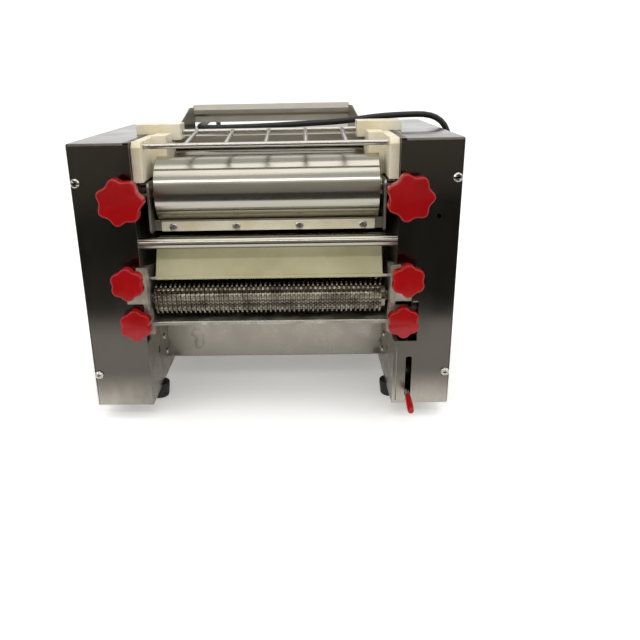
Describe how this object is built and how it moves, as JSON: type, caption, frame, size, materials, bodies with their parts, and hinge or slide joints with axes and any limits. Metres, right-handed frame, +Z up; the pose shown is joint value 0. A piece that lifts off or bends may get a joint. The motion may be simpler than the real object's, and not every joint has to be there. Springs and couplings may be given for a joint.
{
  "type": "electric pasta maker",
  "caption": "Electric pasta maker with paired pressing rollers over interleaved noodle cutters, red star knobs, a lift-up guard, a clutch lever and a power cord.",
  "frame": {"origin": "on the table under the middle of the machine, lever and switch included, cord left out", "axes": "+X to the right seen from the front, +Y to the back, +Z up; millimetres in the source, metres in the record"},
  "size_m": [0.4549, 0.5063, 0.365],
  "materials": {
    "polished_panel": "mirror-polished stainless sheet",
    "plain_steel": "ground and brushed stainless",
    "roller_steel": "hard-chromed ground roller face",
    "gear_steel": "machined gear steel with grease",
    "cast_pulley": "turned cast iron",
    "cream_plastic": "cream acetal, machined",
    "khaki_plastic": "khaki acetal sheet",
    "red_plastic": "glossy red moulding",
    "black_rubber": "matt black rubber",
    "black_cord": "satin black sheath",
    "black_plastic": "black moulded plastic",
    "bronze": "plain bronze bush",
    "motor_paint": "grey enamel"
  },
  "bodies": {
    "frame": {"left_wall_plate": "plain_steel", "right_wall_plate": "plain_steel", "left_side_housing": "polished_panel", "right_side_housing": "polished_panel", "side_covers": "polished_panel", "cover_screws": "plain_steel", "rubber_feet": "black_rubber", "front_tie_bar": "plain_steel", "motor_bay_shell": "polished_panel", "rear_panel": "plain_steel", "bridge_cover": "polished_panel", "feed_lip": "plain_steel", "wall_blocks": "plain_steel", "shaft_bushes": "bronze", "roller_cheeks": "cream_plastic", "cutter_brackets": "plain_steel", "cutter_comb_bar": "plain_steel", "clamp_studs": "plain_steel", "output_chute": "polished_panel", "guard_hinge_blocks": "cream_plastic", "stub_shafts": "plain_steel", "drive_belt": "black_rubber", "drive_motor": "motor_paint", "power_switch_body": "black_plastic", "power_cord": "black_cord", "cord_gland": "black_plastic", "cord_coil": "black_cord", "cord_tail": "black_cord", "power_plug": "black_plastic"},
    "roller_carriage": {"front_bearing_blocks": "plain_steel", "front_roller_bushes": "bronze", "scraper_blade": "plain_steel", "scraper_bar": "cream_plastic", "scraper_screws": "plain_steel"},
    "front_roller_assembly": {"front_roller": "roller_steel", "front_roller_gear": "gear_steel"},
    "rear_roller_assembly": {"rear_roller": "roller_steel", "rear_roller_gears": "gear_steel"},
    "countershaft_assembly": {"countershaft": "gear_steel", "large_pulley": "cast_pulley"},
    "motor_rotor": {"motor_pulley": "cast_pulley"},
    "left_gap_knob_assembly": {"left_gap_knob": "red_plastic"},
    "right_gap_knob_assembly": {"right_gap_knob": "red_plastic"},
    "left_upper_clamp": {"left_upper_clamp_knob": "red_plastic"},
    "right_upper_clamp": {"right_upper_clamp_knob": "red_plastic"},
    "left_lower_clamp": {"left_lower_clamp_knob": "red_plastic"},
    "right_lower_clamp": {"right_lower_clamp_knob": "red_plastic"},
    "front_cutter": {"front_cutter_shaft": "plain_steel", "front_cutter_rings": "plain_steel", "front_cutter_gear": "gear_steel"},
    "rear_cutter": {"rear_cutter_shaft": "plain_steel", "rear_cutter_rings": "plain_steel", "rear_cutter_gear": "gear_steel"},
    "flap": {"sheet_flap": "khaki_plastic"},
    "guard": {"safety_guard": "plain_steel"},
    "lever": {"clutch_lever": "plain_steel", "lever_grip": "red_plastic"},
    "shifter": {"shifter_fork": "plain_steel"},
    "idler": {"sliding_idler_gear": "gear_steel"},
    "switch_rocker": {"power_switch_rocker": "red_plastic"}
  },
  "joints": [
    {"name": "front_roller_gap", "type": "slide", "parent": "frame", "child": "roller_carriage", "axis": [0, -1, 0], "range_m": [0, 0.0035]},
    {"name": "rear_roller_spin", "type": "hinge", "parent": "frame", "child": "rear_roller_assembly", "pos_m": [0, -0.0065, 0.276], "axis": [1, 0, 0], "continuous": true},
    {"name": "front_roller_spin", "type": "hinge", "parent": "roller_carriage", "child": "front_roller_assembly", "pos_m": [0, -0.082, 0.276], "axis": [1, 0, 0], "continuous": true},
    {"name": "countershaft_spin", "type": "hinge", "parent": "frame", "child": "countershaft_assembly", "pos_m": [0, 0.04324, 0.22395], "axis": [1, 0, 0], "continuous": true},
    {"name": "motor_spin", "type": "hinge", "parent": "frame", "child": "motor_rotor", "pos_m": [0, 0.078, 0.105], "axis": [1, 0, 0], "continuous": true},
    {"name": "left_gap_knob_turn", "type": "hinge", "parent": "roller_carriage", "child": "left_gap_knob_assembly", "pos_m": [-0.155, -0.161, 0.276], "axis": [0, -1, 0], "range_deg": [0, 720.01]},
    {"name": "right_gap_knob_turn", "type": "hinge", "parent": "roller_carriage", "child": "right_gap_knob_assembly", "pos_m": [0.155, -0.161, 0.276], "axis": [0, -1, 0], "range_deg": [0, 720.01]},
    {"name": "left_upper_clamp_turn", "type": "hinge", "parent": "frame", "child": "left_upper_clamp", "pos_m": [-0.156, -0.157, 0.185], "axis": [0, -1, 0], "continuous": true},
    {"name": "right_upper_clamp_turn", "type": "hinge", "parent": "frame", "child": "right_upper_clamp", "pos_m": [0.156, -0.157, 0.185], "axis": [0, -1, 0], "continuous": true},
    {"name": "left_lower_clamp_turn", "type": "hinge", "parent": "frame", "child": "left_lower_clamp", "pos_m": [-0.156, -0.137, 0.129], "axis": [0, -1, 0], "continuous": true},
    {"name": "right_lower_clamp_turn", "type": "hinge", "parent": "frame", "child": "right_lower_clamp", "pos_m": [0.156, -0.137, 0.129], "axis": [0, -1, 0], "continuous": true},
    {"name": "rear_cutter_spin", "type": "hinge", "parent": "frame", "child": "rear_cutter", "pos_m": [0, -0.0735, 0.153], "axis": [1, 0, 0], "continuous": true},
    {"name": "front_cutter_spin", "type": "hinge", "parent": "frame", "child": "front_cutter", "pos_m": [0, -0.1125, 0.153], "axis": [1, 0, 0], "continuous": true},
    {"name": "sheet_flap_hinge", "type": "hinge", "parent": "frame", "child": "flap", "pos_m": [0, -0.123, 0.18], "axis": [1, 0, 0], "range_deg": [0, 28]},
    {"name": "guard_hinge", "type": "hinge", "parent": "frame", "child": "guard", "pos_m": [0, -0.012, 0.3365], "axis": [-1, 0, 0], "range_deg": [0, 95]},
    {"name": "clutch_lever_hinge", "type": "hinge", "parent": "frame", "child": "lever", "pos_m": [0.1646, -0.092, 0.049], "axis": [-1, 0, 0], "range_deg": [0, 40]},
    {"name": "shifter_slide", "type": "slide", "parent": "frame", "child": "shifter", "axis": [-1, 0, 0], "range_m": [0, 0.012]},
    {"name": "idler_spin", "type": "hinge", "parent": "shifter", "child": "idler", "pos_m": [0.172, -0.02852, 0.19494], "axis": [1, 0, 0], "continuous": true},
    {"name": "switch_rocker_hinge", "type": "hinge", "parent": "frame", "child": "switch_rocker", "pos_m": [0.186, 0.174, 0.094], "axis": [1, 0, 0], "range_deg": [0, 12]}
  ],
  "couplings": [
    {"joint": "front_roller_spin", "follows": "rear_roller_spin", "ratio": -1},
    {"joint": "countershaft_spin", "follows": "rear_roller_spin", "ratio": -2.4286},
    {"joint": "motor_spin", "follows": "rear_roller_spin", "ratio": -8.2792},
    {"joint": "idler_spin", "follows": "rear_roller_spin", "ratio": -1},
    {"joint": "rear_cutter_spin", "follows": "rear_roller_spin", "ratio": 2.1538},
    {"joint": "front_cutter_spin", "follows": "rear_roller_spin", "ratio": -2.1538},
    {"joint": "left_gap_knob_turn", "follows": "front_roller_gap", "rad_per_m": 3590.4},
    {"joint": "right_gap_knob_turn", "follows": "front_roller_gap", "rad_per_m": 3590.4},
    {"joint": "shifter_slide", "follows": "clutch_lever_hinge", "m_per_rad": 0.017189}
  ]
}
